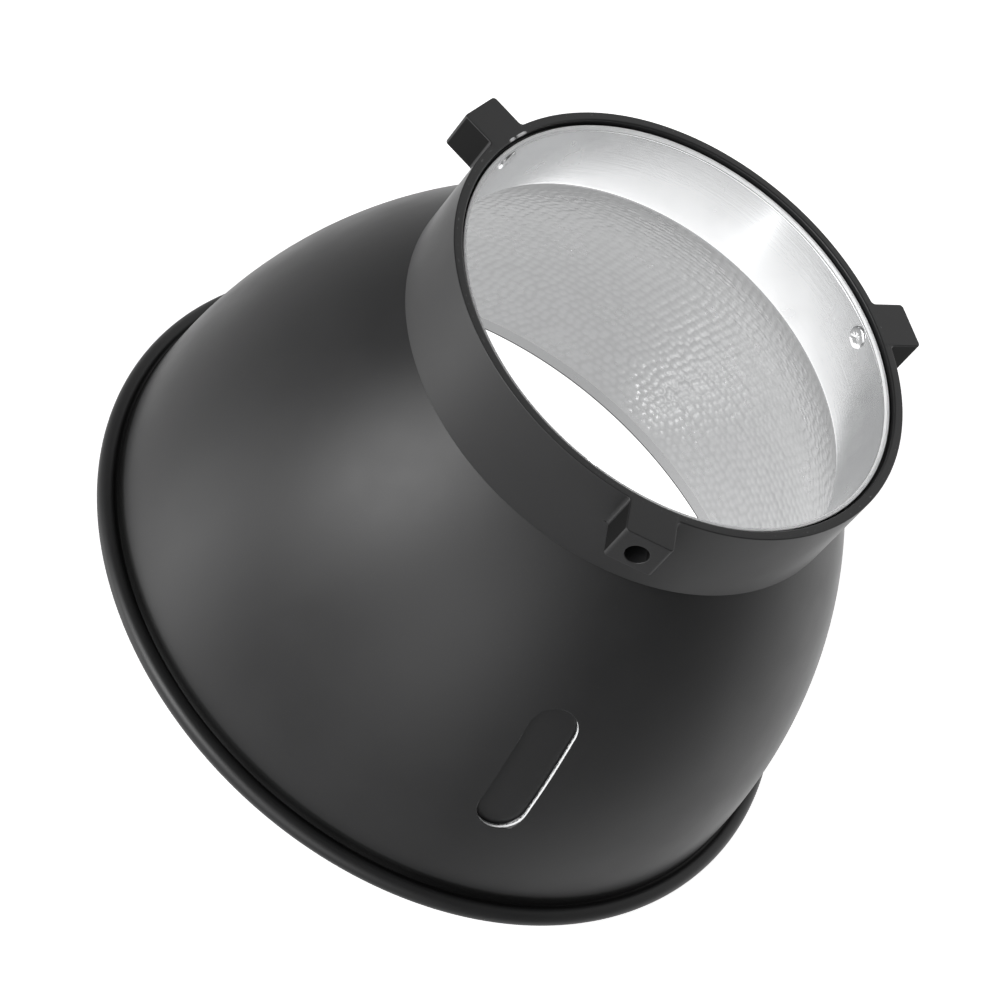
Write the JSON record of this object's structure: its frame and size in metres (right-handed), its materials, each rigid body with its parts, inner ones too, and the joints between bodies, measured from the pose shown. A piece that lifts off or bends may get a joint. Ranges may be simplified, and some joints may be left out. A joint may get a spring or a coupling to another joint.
{
  "type": "studio flash reflector",
  "caption": "Bowl reflector for a studio flash head: spun aluminium bowl, rolled rim, riveted bayonet collar with lugs, and an umbrella slot closed by a sprung flap.",
  "frame": {"origin": "centre of the mouth, on the plane that the rolled rim stands on", "axes": "+Z along the axis from the mouth to the mounting collar; -Y through the middle of the umbrella slot"},
  "size_m": [0.21, 0.21, 0.1309],
  "materials": {
    "black_paint": "fine satin black over spun aluminium, bare pebbled aluminium inside the bowl",
    "cast_black": "smooth semi-matt black on a cast ring",
    "bright_aluminium": "bright satin",
    "spring_steel": "plain plated steel"
  },
  "bodies": {
    "reflector": {"reflector_bowl": "black_paint", "mount_collar": "cast_black", "lug_rivet_1": "bright_aluminium", "lug_rivet_2": "bright_aluminium", "lug_rivet_3": "bright_aluminium", "flap_bracket": "spring_steel", "flap_pin": "spring_steel", "flap_spring": "spring_steel"},
    "flap": {"umbrella_flap": "black_paint"}
  },
  "joints": [
    {"name": "flap_hinge", "type": "hinge", "parent": "reflector", "child": "flap", "pos_m": [0, -0.07661, 0.07693], "axis": [1, 0, 0], "range_deg": [0, 60], "stiffness_Nm_per_rad": 0.02, "springref_deg": -20.05, "deforming": ["flap_spring"]}
  ]
}
